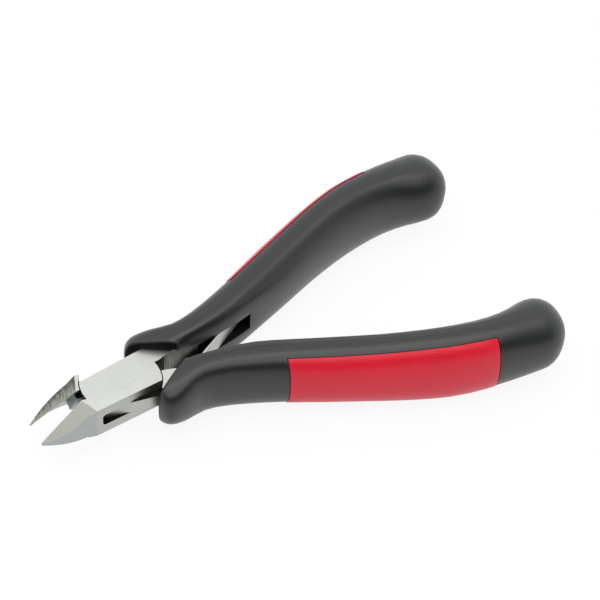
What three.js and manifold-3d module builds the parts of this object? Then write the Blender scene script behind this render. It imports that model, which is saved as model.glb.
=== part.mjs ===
// Side cutters for electronics work: a box-jointed pair of levers with ground jaws, a flush joint pin,
// two leaf springs and two-component grips. Millimetres, +X from the jaws to the grips, +Z up.
// The origin lies on the pivot axis in the lower face of the head.
import * as THREE from "three";
import { mergeVertices } from "three/addons/utils/BufferGeometryUtils.js";
import Module from "manifold-3d";

const wasm = await Module();
wasm.setup();

// Opening between the levers in the rest pose
const REST_OPENING = THREE.MathUtils.degToRad(15.4);

// Head and box joint
const HEAD_THICKNESS = 7.9;
const HEAD_FRONT_WIDTH = 9.2;
const HEAD_REAR_WIDTH = 10.2;
const CHEEK_RADIUS = 9.0;
const CHEEK_THICKNESS = 2.35;
const SHOULDER_GAP = 0.25;
const TONGUE_RADIUS = 8.0;
const TONGUE_SIDE_GAP = 0.05;
const TONGUE_END_GAP = 1.0;
const PIN_RADIUS = 2.2;
const PIN_RUNNING_GAP = 0.06;
const PIN_SEAT_GAP = 0.03;

// Jaws: the cutting edge falls from the top of the head to the tip, and the inner face is relieved below it
const JAW_TIP_REACH = 20.7;
const JAW_TIP_WIDTH = 0.4;
const JAW_TIP_HEIGHT = 0.35;
const JAW_ROOT_WIDTH = 4.0;
const JAW_BULGE_POWER = 2.4;
const JAW_FOOT_WIDTH = 0.35;
const JAW_FOOT_STEP = 0.3;
const JAW_CLOSED_GAP = 0.06;
const FACET_ROOT_REACH = 10.1;
const FACET_ROOT_SKEW = 0.9;
const SHOULDER_LENGTH = 1.9;
const RAMP_TOP_REACH = 10.1;
const RAMP_FOOT_REACH = 11.6;

// Tangs inside the grips
const TANG_CLOSED_GAP = 0.5;
const TANG_BEND_REACH = 10.1;
const TANG_INNER_SLOPE = 0.165;
const TANG_WIDTH = 4.0;
const TANG_NECK_REACH = 15.0;
const TANG_NECK_OFFSET = 4.4;
const TANG_PAST_RIVET = 4.0;
const TANG_REACH = 80.0;

// Leaf springs and their rivets
const SPRING_THICKNESS = 0.4;
const SPRING_WIDTH = 4.4;
const SPRING_SEAT_GAP = 0.05;
const SPRING_BEND_REACH = 34.2;
const SPRING_BEND_GAP = 0.1;
const SPRING_TIP_REACH = 20.3;
const SPRING_TIP_GAP = 0.2;
const SPRING_FOOT_LENGTH = 3.8;
const SPRING_TAIL = 2.4;
const RIVET_SHANK_RADIUS = 0.8;
const RIVET_HEAD_RADIUS = 1.3;
const RIVET_HEAD_HEIGHT = 0.6;
const RIVET_HEAD_GAP = 0.05;
const RIVET_DEPTH = 2.4;
const RIVET_HOLE_GAP = 0.05;
const SPRING_HOLE_GAP = 0.05;

// Grips: inner edge, outer edge and half height, each as pairs of reach from the pivot and value
const GRIP_INNER = [
  [6, 0.2], [29, 0.4], [39, 1.9], [48, 3.8], [58, 6.6], [69, 9.0], [79, 9.8], [86, 8.8], [92, 6.7],
  [100, 6.4],
];
const GRIP_OUTER = [
  [6.0, 7.4], [6.9, 9.2], [8.5, 10.2], [11.5, 9.8], [18.5, 7.2], [31, 9.7], [48, 15.3], [69, 20.7],
  [82, 21.7], [100, 21.4],
];
const GRIP_HALF_HEIGHT = [
  [6, 4.8], [9, 5.8], [15, 6.9], [20, 7.2], [30, 7.6], [50, 8.1], [70, 9.0], [84, 8.5], [100, 7.2],
];
const GRIP_SQUARENESS = 2.4;
const GRIP_INNER_SQUARENESS = [[6, 7], [14, 7], [24, 6], [36, 3.4], [48, 2.4], [100, 2.4]];
const GRIP_FRONT = 6.0;
const GRIP_END = 99.1;
const GRIP_END_ROUND = 6.5;
const GRIP_END_POWER = 2.2;
const GRIP_END_LEAN = 0.12;
const MOUTH_INNER_REACH = 14.6;
const MOUTH_OUTER_REACH = 7.0;
const MOUTH_OUTER_OFFSET = 6.5;
const SKIN_WALL = 1.7;
const GRIP_FIT_GAP = 0.25;
const CORE_FRONT = 40.0;
const CORE_END = 89.0;

// Palm inlay: a strip of the core that shows along the outer side of the grip
const INLAY_FRONT = 35.2;
const INLAY_END = 81.0;
const INLAY_DEPTH_SHARE = 0.5;
const INLAY_PROUD = 0.15;

// Spring recess in the inner side of each grip, and the pocket for the rivet behind it
const RECESS_PAST_BEND = 1.5;
const RECESS_SIDE_GAP = 0.15;
const RECESS_FLARE_END = 18.7;
const POCKET_FRONT = 24.0;
const POCKET_PAST_RIVET = 3.5;
const POCKET_DEPTH = 1.7;

// Fineness of the faceting
const ROUND_SIDES = 64;
const STUD_SIDES = 20;
const RING_POINTS = 32;
const GRIP_STEPS = 36;
const CORE_STEPS = 16;
const JAW_STEPS = 14;
const END_CLOSENESS = 0.8;
const BEYOND = 60;

const HALF_THICKNESS = HEAD_THICKNESS / 2;
const SLOT_HALF = HALF_THICKNESS - CHEEK_THICKNESS;
const TONGUE_HALF = SLOT_HALF - TONGUE_SIDE_GAP;
const SHOULDER_RADIUS = CHEEK_RADIUS + SHOULDER_GAP;
const HALF_OPENING = REST_OPENING / 2;
const RIVET_REACH = SPRING_BEND_REACH + SPRING_FOOT_LENGTH;
const TANG_STRAIGHT_END = RIVET_REACH + TANG_PAST_RIVET;
const RECESS_END = SPRING_BEND_REACH + RECESS_PAST_BEND;
const POCKET_END = RIVET_REACH + POCKET_PAST_RIVET;
const { lerp, clamp } = THREE.MathUtils;

const groundSteel = new THREE.MeshStandardMaterial({ color: 0xc9cbc6, roughness: 0.35, metalness: 1.0 });
const pinSteel = new THREE.MeshStandardMaterial({ color: 0xbfc1bd, roughness: 0.3, metalness: 1.0 });
const springSteel = new THREE.MeshStandardMaterial({ color: 0xc0c1bc, roughness: 0.3, metalness: 1.0 });
const redPlastic = new THREE.MeshStandardMaterial({ color: 0xcd2323, roughness: 0.5, metalness: 0.0 });
const blackRubber = new THREE.MeshStandardMaterial({ color: 0x2f3031, roughness: 0.7, metalness: 0.0 });

// Turns a closed geometry into a solid. Side -1 gives its mirror image across the tool's centre plane.
function solid(geometry, side = 1) {
  const bare = geometry.index ? geometry.toNonIndexed() : geometry.clone();
  bare.deleteAttribute("normal");
  bare.deleteAttribute("uv");
  const merged = mergeVertices(bare, 1e-5);
  const vertProperties = new Float32Array(merged.attributes.position.array);
  const triVerts = new Uint32Array(merged.index.array);
  if (side < 0) {
    for (let i = 1; i < vertProperties.length; i += 3) vertProperties[i] *= -1;
    for (let i = 0; i < triVerts.length; i += 3) {
      [triVerts[i + 1], triVerts[i + 2]] = [triVerts[i + 2], triVerts[i + 1]];
    }
  }
  return new wasm.Manifold(new wasm.Mesh({ numProp: 3, vertProperties, triVerts }));
}

// Wraps a finished solid as a named mesh.
function mesh(name, body, material) {
  const raw = body.getMesh();
  const geometry = new THREE.BufferGeometry();
  geometry.setAttribute("position", new THREE.BufferAttribute(new Float32Array(raw.vertProperties), 3));
  geometry.setIndex(new THREE.BufferAttribute(new Uint32Array(raw.triVerts), 1));
  const faceted = geometry.toNonIndexed();
  faceted.computeVertexNormals();
  const made = new THREE.Mesh(faceted, material);
  made.name = name;
  return made;
}

// Upright prism over a plan outline of [x, y] points.
function prism(outline, zLow, zHigh) {
  const shape = new THREE.Shape(outline.map(([x, y]) => new THREE.Vector2(x, y)));
  const geometry = new THREE.ExtrudeGeometry(shape, { depth: zHigh - zLow, bevelEnabled: false });
  return geometry.translate(0, 0, zLow);
}

// Upright cylinder on the pivot axis.
function pivotCylinder(radius, zLow, zHigh) {
  const geometry = new THREE.CylinderGeometry(radius, radius, zHigh - zLow, ROUND_SIDES);
  return geometry.rotateX(Math.PI / 2).translate(0, 0, (zLow + zHigh) / 2);
}

// Box between two opposite corners.
function block(low, high) {
  const size = high.map((value, axis) => value - low[axis]);
  const middle = low.map((value, axis) => value + size[axis] / 2);
  return new THREE.BoxGeometry(...size).translate(...middle);
}

// Closed skin over rings of points that run anticlockwise against the loft's direction, with flat ends.
function loft(rings) {
  const count = rings[0].length;
  const last = rings.length - 1;
  const positions = rings.flat(2);
  const frontCentre = rings.length * count;
  for (const ring of [rings[0], rings[last]]) {
    for (const axis of [0, 1, 2]) {
      positions.push(ring.reduce((sum, point) => sum + point[axis], 0) / count);
    }
  }
  const index = [];
  for (let j = 0; j < count; j += 1) {
    const next = (j + 1) % count;
    for (let here = 0; here < last * count; here += count) {
      const there = here + count;
      index.push(here + j, here + next, there + next, here + j, there + next, there + j);
    }
    index.push(frontCentre, next, j);
    index.push(frontCentre + 1, last * count + j, last * count + next);
  }
  const geometry = new THREE.BufferGeometry();
  geometry.setAttribute("position", new THREE.Float32BufferAttribute(positions, 3));
  geometry.setIndex(index);
  return geometry;
}

// Value at x of a smooth curve through pairs of position and value.
function along(pairs, x) {
  const last = pairs.length - 1;
  let i = 0;
  while (i < last - 1 && x > pairs[i + 1][0]) i += 1;
  const slope = (k) => {
    const before = pairs[Math.max(k - 1, 0)];
    const after = pairs[Math.min(k + 1, last)];
    return (after[1] - before[1]) / (after[0] - before[0]);
  };
  const [x0, y0] = pairs[i];
  const [x1, y1] = pairs[i + 1];
  const t = clamp((x - x0) / (x1 - x0), 0, 1);
  const leave = slope(i) * (x1 - x0);
  const arrive = slope(i + 1) * (x1 - x0);
  const bend = 3 * (y1 - y0) - 2 * leave - arrive;
  return y0 + t * (leave + t * (bend + t * (2 * (y0 - y1) + leave + arrive)));
}

// Half width of the head at a place along the tool.
function headHalfWidth(x) {
  return lerp(HEAD_FRONT_WIDTH, HEAD_REAR_WIDTH, (x + CHEEK_RADIUS) / (2 * CHEEK_RADIUS)) / 2;
}

// Disc about the pivot, ground to the tapered sides of the head.
function headDisc(radius, zHalf) {
  const front = -2 * CHEEK_RADIUS;
  const rear = 2 * CHEEK_RADIUS;
  const band = prism([
    [front, -headHalfWidth(front)],
    [rear, -headHalfWidth(rear)],
    [rear, headHalfWidth(rear)],
    [front, headHalfWidth(front)],
  ], -zHalf, zHalf);
  return solid(pivotCylinder(radius, -zHalf, zHalf)).intersect(solid(band));
}

// Plan quadrant in front of (-1) or behind (+1) the pivot, on one side of the centre plane.
function quadrant(xSide, ySide, inset, zHalf) {
  const near = [0, ySide * inset];
  const far = [xSide * BEYOND, ySide * BEYOND];
  const low = near.map((value, axis) => Math.min(value, far[axis]));
  const high = near.map((value, axis) => Math.max(value, far[axis]));
  return solid(block([...low, -zHalf], [...high, zHalf]));
}

// Heights of a jaw: its foot, and the ground facet that falls to the tip and outwards from the cutting edge
const JAW_FOOT = -HALF_THICKNESS + JAW_FOOT_STEP;
const EDGE_FALL = (HALF_THICKNESS - JAW_FOOT - JAW_TIP_HEIGHT) / (JAW_TIP_REACH - FACET_ROOT_REACH);
const FACET_ROLL = (FACET_ROOT_SKEW * EDGE_FALL) / JAW_ROOT_WIDTH;

function facetHeight(reach, offset) {
  return HALF_THICKNESS - (reach - FACET_ROOT_REACH) * EDGE_FALL - offset * FACET_ROLL;
}

// Width of a jaw from the centre plane to its curved outer wall.
function jawWidth(reach) {
  const t = Math.max(0, (reach - SHOULDER_RADIUS) / (JAW_TIP_REACH - SHOULDER_RADIUS));
  return lerp(JAW_ROOT_WIDTH, JAW_TIP_WIDTH, t ** JAW_BULGE_POWER);
}

// Blade of a jaw on the -Y side: facet on top, curved outer wall, and a relief from the edge to the foot.
function jawBlade(side) {
  const edge = JAW_CLOSED_GAP / 2;
  const rings = [];
  for (let i = 0; i <= JAW_STEPS; i += 1) {
    const reach = lerp(TONGUE_RADIUS, JAW_TIP_REACH, i / JAW_STEPS);
    const width = jawWidth(reach);
    const foot = Math.max(width - JAW_FOOT_WIDTH, (edge + width) / 2);
    rings.push([
      [-reach, -edge, facetHeight(reach, edge)],
      [-reach, -foot, JAW_FOOT],
      [-reach, -width, JAW_FOOT],
      [-reach, -width, facetHeight(reach, width)],
    ]);
  }
  const overHead = block([-BEYOND, -BEYOND, HALF_THICKNESS], [BEYOND, BEYOND, BEYOND]);
  return solid(loft(rings), side).subtract(solid(overHead));
}

// Shoulder from the side of the head to the outer wall of a jaw on the -Y side, under the facet.
function jawShoulder(side) {
  const back = TONGUE_RADIUS - SHOULDER_LENGTH;
  const front = SHOULDER_RADIUS + SHOULDER_LENGTH;
  const outline = [
    [-back, -headHalfWidth(-back)],
    [-back, -jawWidth(back) + JAW_FOOT_WIDTH],
    [-front, -jawWidth(front) + JAW_FOOT_WIDTH],
    [-front, -jawWidth(front)],
    [-SHOULDER_RADIUS, -headHalfWidth(-SHOULDER_RADIUS)],
  ];
  const corner = (reach, offset, lift) => [-reach, -offset, facetHeight(reach, offset) + lift];
  const overFacet = [0, JAW_TIP_REACH].map((reach) => [
    corner(reach, -HEAD_REAR_WIDTH, BEYOND),
    corner(reach, -HEAD_REAR_WIDTH, 0),
    corner(reach, HEAD_REAR_WIDTH, 0),
    corner(reach, HEAD_REAR_WIDTH, BEYOND),
  ]);
  const body = solid(prism(outline.reverse(), -HALF_THICKNESS, HALF_THICKNESS), side);
  return body.subtract(solid(loft(overFacet), side));
}

// Ramp at the throat between the jaws, in the layer of the tongue, for a jaw on the -Y side.
function throatRamp(side) {
  const ring = (offset) => [
    [-TONGUE_RADIUS / 2, -offset, TONGUE_HALF],
    [-RAMP_TOP_REACH, -offset, TONGUE_HALF],
    [-RAMP_FOOT_REACH, -offset, -TONGUE_HALF],
    [-TONGUE_RADIUS / 2, -offset, -TONGUE_HALF],
  ];
  const rings = [ring(JAW_CLOSED_GAP / 2), ring(jawWidth(RAMP_FOOT_REACH) - JAW_FOOT_WIDTH)];
  return solid(loft(rings), side);
}

// Everything in front of the pivot that belongs to a jaw on the -Y side.
function jaw(side) {
  return jawBlade(side).add(jawShoulder(side)).add(throatRamp(side));
}

// Inner edge of the tang on the +Y side.
function tangInner(x) {
  return TANG_CLOSED_GAP / 2 + Math.max(0, x - TANG_BEND_REACH) * TANG_INNER_SLOPE;
}

function gripMiddle(x) {
  return (along(GRIP_INNER, x) + along(GRIP_OUTER, x)) / 2;
}

// Tang on the +Y side, grown by the clearance of the grip that holds it.
function tang(side, clearance = 0) {
  const start = TONGUE_RADIUS / 2;
  const bent = [0.25, 0.5, 0.75, 1].map((t) => lerp(TANG_STRAIGHT_END, TANG_REACH, t));
  const stretch = (x) => (x === TANG_REACH ? x + clearance : x);
  const inner = [
    ...[start, TANG_BEND_REACH, TANG_STRAIGHT_END].map((x) => [x, tangInner(x) - clearance]),
    ...bent.map((x) => [stretch(x), gripMiddle(x) - TANG_WIDTH / 2 - clearance]),
  ];
  const outer = [
    [start, headHalfWidth(start) + clearance],
    [CHEEK_RADIUS, headHalfWidth(CHEEK_RADIUS) + clearance],
    [TANG_NECK_REACH, TANG_NECK_OFFSET + clearance],
    [TANG_STRAIGHT_END, tangInner(TANG_STRAIGHT_END) + TANG_WIDTH + clearance],
    ...bent.map((x) => [stretch(x), gripMiddle(x) + TANG_WIDTH / 2 + clearance]),
  ];
  const zHalf = HALF_THICKNESS + clearance;
  return solid(prism([...inner, ...outer.reverse()], -zHalf, zHalf), side);
}

// Rivet seat: the tang's inner face at the rivet, with depth measured square into the tang
const SEAT_TURN = Math.atan(TANG_INNER_SLOPE);

function seatPoint(depth) {
  return [
    RIVET_REACH - depth * Math.sin(SEAT_TURN),
    tangInner(RIVET_REACH) + depth * Math.cos(SEAT_TURN),
  ];
}

// Round stud on the rivet's axis between two depths.
function rivetStud(radius, from, to, side) {
  const [x, y] = seatPoint((from + to) / 2);
  const geometry = new THREE.CylinderGeometry(radius, radius, to - from, STUD_SIDES);
  return solid(geometry.rotateZ(SEAT_TURN).translate(x, y, 0), side);
}

function springRivet(side) {
  const headTop = -(SPRING_SEAT_GAP + SPRING_THICKNESS + RIVET_HEAD_GAP);
  const head = rivetStud(RIVET_HEAD_RADIUS, headTop - RIVET_HEAD_HEIGHT, headTop, side);
  return head.add(rivetStud(RIVET_SHANK_RADIUS, headTop - RIVET_HEAD_HEIGHT / 2, RIVET_DEPTH, side));
}

// Point on the middle line of a spring's foot, which lies along the tang, at a distance from the rivet.
function footPoint(distance) {
  const [x, y] = seatPoint(-SPRING_SEAT_GAP - SPRING_THICKNESS / 2);
  return [x + distance * Math.cos(SEAT_TURN), y + distance * Math.sin(SEAT_TURN)];
}

const BEND_DISTANCE = -SPRING_FOOT_LENGTH / Math.cos(SEAT_TURN);

// Foot of a leaf spring on the +Y side, riveted flat to the tang.
function springFoot(side) {
  const from = BEND_DISTANCE + SPRING_THICKNESS / 2 + SPRING_BEND_GAP;
  const [x, y] = footPoint((from + SPRING_TAIL) / 2);
  const strip = new THREE.BoxGeometry(SPRING_TAIL - from, SPRING_THICKNESS, SPRING_WIDTH);
  const hole = rivetStud(RIVET_SHANK_RADIUS + SPRING_HOLE_GAP, -TANG_WIDTH, TANG_WIDTH, side);
  return solid(strip.rotateZ(SEAT_TURN).translate(x, y, 0), side).subtract(hole);
}

// Blade of a leaf spring on the +Y side, from the bend to the bisector of the open levers.
function springBlade(side) {
  const [bendX, bendY] = footPoint(BEND_DISTANCE);
  const half = SPRING_THICKNESS / 2;
  const tip = new THREE.Vector2(SPRING_TIP_REACH, SPRING_TIP_GAP + half);
  tip.rotateAround(new THREE.Vector2(), -HALF_OPENING);
  const reach = Math.hypot(bendX - tip.x, bendY - tip.y);
  const turn = Math.atan2(bendY - tip.y, bendX - tip.x);
  const outline = new THREE.Shape();
  outline.absarc(0, 0, half, -Math.PI / 2, Math.PI / 2, false);
  outline.absarc(-reach, 0, half, Math.PI / 2, Math.PI * 1.5, false);
  const extrusion = { depth: SPRING_WIDTH, bevelEnabled: false, curveSegments: ROUND_SIDES / 8 };
  const strip = new THREE.ExtrudeGeometry(outline, extrusion);
  return solid(strip.translate(0, 0, -SPRING_WIDTH / 2).rotateZ(turn).translate(bendX, bendY, 0), side);
}

// Section of the grip at x, grown by a margin: a rounded square that closes in at the grip's end.
function gripRing(x, margin) {
  const halfWidth = (along(GRIP_OUTER, x) - along(GRIP_INNER, x)) / 2 + margin;
  const halfHeight = along(GRIP_HALF_HEIGHT, x) + margin;
  const past = clamp((x - GRIP_END + GRIP_END_ROUND) / (GRIP_END_ROUND + margin), 0, 0.995);
  const closing = (1 - past ** GRIP_END_POWER) ** (1 / GRIP_END_POWER);
  const squared = (value, power) => Math.sign(value) * Math.abs(value) ** (2 / power);
  const ring = [];
  for (let j = 0; j < RING_POINTS; j += 1) {
    const angle = (2 * Math.PI * (j + 0.5)) / RING_POINTS;
    const power = Math.cos(angle) < 0 ? along(GRIP_INNER_SQUARENESS, x) : GRIP_SQUARENESS;
    const across = halfWidth * closing * squared(Math.cos(angle), power);
    const z = halfHeight * closing * squared(Math.sin(angle), power);
    ring.push([x + GRIP_END_LEAN * past * z, gripMiddle(x) + across, z]);
  }
  return ring;
}

// Body of the grip between two places, with closer sections towards its ends.
function gripBody(front, end, steps, margin) {
  const rings = [];
  for (let i = 0; i <= steps; i += 1) {
    const t = i / steps;
    const eased = t - (END_CLOSENESS * Math.sin(2 * Math.PI * t)) / (2 * Math.PI);
    rings.push(gripRing(lerp(front, end, eased), margin));
  }
  return loft(rings);
}

function fullGrip(margin, side) {
  return solid(gripBody(GRIP_FRONT - margin, GRIP_END + margin, GRIP_STEPS, margin), side);
}

function gripCore(margin, side) {
  return solid(gripBody(CORE_FRONT - margin, CORE_END + margin, CORE_STEPS, margin - SKIN_WALL), side);
}

// Everything outside the inlay's inner border, between the inlay's ends, drawn in by an inset.
function inlayRoom(inset, side) {
  const border = [];
  for (let i = 0; i <= CORE_STEPS; i += 1) {
    const x = lerp(INLAY_FRONT + inset, INLAY_END - inset, i / CORE_STEPS);
    const halfWidth = (along(GRIP_OUTER, x) - along(GRIP_INNER, x)) / 2;
    border.push([x, gripMiddle(x) + INLAY_DEPTH_SHARE * halfWidth + inset]);
  }
  const outside = [[INLAY_END - inset, BEYOND], [INLAY_FRONT + inset, BEYOND]];
  return solid(prism([...border, ...outside], -BEYOND, BEYOND), side);
}

// Half height of the room for a spring
const RECESS_HALF = SPRING_WIDTH / 2 + RECESS_SIDE_GAP;

// Room for the spring: the open recess and the pocket behind it.
function springRoom(side) {
  const edge = (x, depth) => [x, tangInner(x) + depth];
  const seat = [RECESS_END, TANG_BEND_REACH, 0].map((x) => edge(x, TANG_WIDTH / 2));
  const recess = prism([[0, -BEYOND], [RECESS_END, -BEYOND], ...seat], -RECESS_HALF, RECESS_HALF);
  const pocket = prism([
    edge(POCKET_FRONT, -POCKET_DEPTH),
    edge(POCKET_END, -POCKET_DEPTH),
    edge(POCKET_END, TANG_WIDTH / 2),
    edge(POCKET_FRONT, TANG_WIDTH / 2),
  ], -RECESS_HALF, RECESS_HALF);
  return solid(recess, side).add(solid(pocket, side));
}

// Front of the grip that is cut away: before the slanted mouth, and the flare from it into the recess.
function mouthRoom(side) {
  const inner = new THREE.Vector2(MOUTH_INNER_REACH, TANG_CLOSED_GAP / 2);
  const outer = new THREE.Vector2(MOUTH_OUTER_REACH, MOUTH_OUTER_OFFSET);
  const run = outer.clone().sub(inner).setLength(BEYOND);
  const before = [
    [inner.x - run.x, inner.y - run.y],
    [inner.x + run.x, inner.y + run.y],
    [inner.x + run.x - BEYOND, inner.y + run.y],
    [inner.x - run.x - BEYOND, inner.y - run.y - BEYOND],
  ];
  const zHalf = HALF_THICKNESS + GRIP_FIT_GAP;
  const flare = prism([
    [0, -zHalf],
    [MOUTH_INNER_REACH, -zHalf],
    [RECESS_FLARE_END, -RECESS_HALF],
    [RECESS_FLARE_END, RECESS_HALF],
    [MOUTH_INNER_REACH, zHalf],
    [0, zHalf],
  ], -TANG_WIDTH / 2, BEYOND).rotateX(Math.PI / 2);
  return solid(prism(before, -BEYOND, BEYOND), side).add(solid(flare, side));
}

// Soft skin of a grip on the +Y side.
function gripSkin(side) {
  return fullGrip(0, side)
    .subtract(inlayRoom(0, side))
    .subtract(gripCore(GRIP_FIT_GAP, side))
    .subtract(tang(side, GRIP_FIT_GAP))
    .subtract(springRoom(side))
    .subtract(mouthRoom(side));
}

// Hard core of a grip on the +Y side, with the inlay that fills the window of the skin.
function gripCoreAndInlay(side) {
  return fullGrip(INLAY_PROUD, side)
    .intersect(inlayRoom(GRIP_FIT_GAP, side))
    .add(gripCore(0, side))
    .subtract(tang(side, GRIP_FIT_GAP))
    .subtract(springRoom(side));
}

function rivetHole(side) {
  return rivetStud(RIVET_SHANK_RADIUS + RIVET_HOLE_GAP, -TANG_WIDTH, RIVET_DEPTH + RIVET_HOLE_GAP, side);
}

// Lever with the box: jaw on the -Y side, cheeks above and below the slot, tang on the +Y side.
function boxLever() {
  const slot = solid(pivotCylinder(TONGUE_RADIUS + TONGUE_END_GAP, -SLOT_HALF, SLOT_HALF))
    .add(quadrant(-1, 1, 0, SLOT_HALF))
    .add(quadrant(1, -1, 0, SLOT_HALF));
  return headDisc(CHEEK_RADIUS, HALF_THICKNESS)
    .add(jaw(1))
    .add(tang(1))
    .subtract(slot)
    .subtract(solid(pivotCylinder(PIN_RADIUS + PIN_SEAT_GAP, -BEYOND, BEYOND)))
    .subtract(rivetHole(1));
}

// Lever that passes through the box: jaw on the +Y side, tongue between the cheeks, tang on the -Y side.
function throughLever() {
  const cheekRoom = solid(pivotCylinder(SHOULDER_RADIUS, TONGUE_HALF, BEYOND))
    .add(solid(pivotCylinder(SHOULDER_RADIUS, -BEYOND, -TONGUE_HALF)));
  const necks = quadrant(-1, 1, JAW_CLOSED_GAP / 2, TONGUE_HALF)
    .add(quadrant(1, -1, TANG_CLOSED_GAP / 2, TONGUE_HALF))
    .intersect(headDisc(RAMP_TOP_REACH, TONGUE_HALF));
  return jaw(-1)
    .add(tang(-1))
    .subtract(cheekRoom)
    .add(headDisc(TONGUE_RADIUS, TONGUE_HALF))
    .add(necks)
    .subtract(solid(pivotCylinder(PIN_RADIUS + PIN_RUNNING_GAP, -BEYOND, BEYOND)))
    .subtract(rivetHole(-1));
}

// A lever with its spring, rivet and grip, all on the lever's own side.
function leverGroup(name, lever, side) {
  const group = new THREE.Group();
  group.add(
    mesh(`${name}_lever`, lever, groundSteel),
    mesh(`${name}_spring_foot`, springFoot(side), springSteel),
    mesh(`${name}_spring_blade`, springBlade(side), springSteel),
    mesh(`${name}_spring_rivet`, springRivet(side), pinSteel),
    mesh(`${name}_grip_core`, gripCoreAndInlay(side), redPlastic),
    mesh(`${name}_grip_skin`, gripSkin(side), blackRubber),
  );
  group.rotation.z = side * HALF_OPENING;
  return group;
}

const boxSide = leverGroup("box", boxLever(), 1);
const throughSide = leverGroup("through", throughLever(), -1);
const pin = solid(pivotCylinder(PIN_RADIUS, -HALF_THICKNESS, HALF_THICKNESS));
boxSide.add(mesh("joint_pin", pin, pinSteel));

const tool = new THREE.Group();
tool.add(boxSide, throughSide);
tool.position.z = HALF_THICKNESS;

const sideCutters = new THREE.Group();
sideCutters.add(tool);

export default sideCutters;
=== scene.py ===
"""Looks of the side cutters: ground steel levers, leaf springs and two-component grips in a plain studio."""
import logging
import math
from dataclasses import dataclass
from enum import Enum
from typing import Callable, Optional

import bpy
from mathutils import Matrix, Vector


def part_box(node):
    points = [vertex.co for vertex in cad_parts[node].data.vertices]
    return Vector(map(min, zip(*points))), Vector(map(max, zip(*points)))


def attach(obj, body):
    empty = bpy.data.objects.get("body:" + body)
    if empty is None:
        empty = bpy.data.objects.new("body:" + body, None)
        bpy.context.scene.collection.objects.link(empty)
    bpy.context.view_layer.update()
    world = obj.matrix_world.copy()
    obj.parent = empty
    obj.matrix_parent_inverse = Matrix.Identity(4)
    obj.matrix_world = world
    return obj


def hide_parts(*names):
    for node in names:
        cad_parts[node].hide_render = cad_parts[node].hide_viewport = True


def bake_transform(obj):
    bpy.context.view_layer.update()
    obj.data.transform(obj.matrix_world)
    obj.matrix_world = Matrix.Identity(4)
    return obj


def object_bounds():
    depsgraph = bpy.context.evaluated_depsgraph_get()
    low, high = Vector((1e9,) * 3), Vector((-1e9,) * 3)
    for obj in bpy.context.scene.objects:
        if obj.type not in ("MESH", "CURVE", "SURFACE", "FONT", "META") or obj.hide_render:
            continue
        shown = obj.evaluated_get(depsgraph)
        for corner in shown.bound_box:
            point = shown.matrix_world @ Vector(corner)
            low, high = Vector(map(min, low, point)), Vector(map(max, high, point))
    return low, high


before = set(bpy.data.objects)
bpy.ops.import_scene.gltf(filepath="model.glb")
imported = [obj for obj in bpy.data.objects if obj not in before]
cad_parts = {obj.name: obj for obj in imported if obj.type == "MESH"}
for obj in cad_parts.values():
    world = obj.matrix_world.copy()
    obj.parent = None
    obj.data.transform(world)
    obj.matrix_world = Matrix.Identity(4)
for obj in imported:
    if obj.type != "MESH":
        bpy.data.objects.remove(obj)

log = logging.getLogger("side_cutters")
MM = 0.001
CAD_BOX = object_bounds()
# Half the angle between the open levers, and the middle of the head above its lower face
HALF_OPENING_DEG = 7.7
MID_HEIGHT_MM = 3.95
# Distance under which a cut takes a corner that is there already, and under which corners are one
CUT_SNAP = 0.001 * MM
MERGE_MM = 0.002
# Largest angle between the triangles of a flat face, and between the faces of a turned one
FLAT_DEG = 0.6
ROUND_DEG = 30.0


class Side(Enum):
    """The two levers, each with its grip and spring, and the way their grip lies from the centre plane."""

    BOX = ("box", 1.0)
    THROUGH = ("through", -1.0)

    @property
    def word(self) -> str:
        """First word of the names of this side's pieces."""
        return self.value[0]

    @property
    def sign(self) -> float:
        """Plus one for the grip on the +Y side, minus one for the other."""
        return self.value[1]

    @property
    def body(self) -> str:
        """Body that carries the lever and its grip."""
        return f"{self.word}_side"

    @property
    def spring_body(self) -> str:
        """Name of a body for the blade of the leaf spring, which this script only logs."""
        return f"{self.word}_spring"


def own_frame(side: Side, vector: Vector) -> Vector:
    """Turns a point or a direction into a closed lever's frame, mirrored so that its grip is on the +Y side.

    Args:
        side: Lever whose frame is meant.
        vector: Point or direction in the row frame.

    Returns:
        The same point or direction in the lever's frame.
    """
    turned = Matrix.Rotation(math.radians(-HALF_OPENING_DEG * side.sign), 3, "Z") @ vector
    return Vector((turned.x, turned.y * side.sign, turned.z))


def row_frame(side: Side, x_mm: float, y_mm: float, lift_mm: float = 0.0) -> Vector:
    """Turns a place in a closed lever's frame into a point of the row frame.

    Args:
        side: Lever whose frame is meant.
        x_mm: Distance along the lever.
        y_mm: Distance from the centre plane.
        lift_mm: Height above the middle of the head.

    Returns:
        The point in metres.
    """
    place = Vector((x_mm, y_mm * side.sign, lift_mm + MID_HEIGHT_MM)) * MM
    return Matrix.Rotation(math.radians(HALF_OPENING_DEG * side.sign), 3, "Z") @ place


def linear(code: str) -> tuple[float, float, float, float]:
    """Turns an sRGB hex colour into linear light.

    Args:
        code: Colour such as "#c8c9c4".

    Returns:
        Red, green, blue and an alpha of one.
    """
    parts = [int(code[i:i + 2], 16) / 255 for i in (1, 3, 5)]
    light = [p / 12.92 if p <= 0.04045 else ((p + 0.055) / 1.055) ** 2.4 for p in parts]
    return (*light, 1.0)


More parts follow.
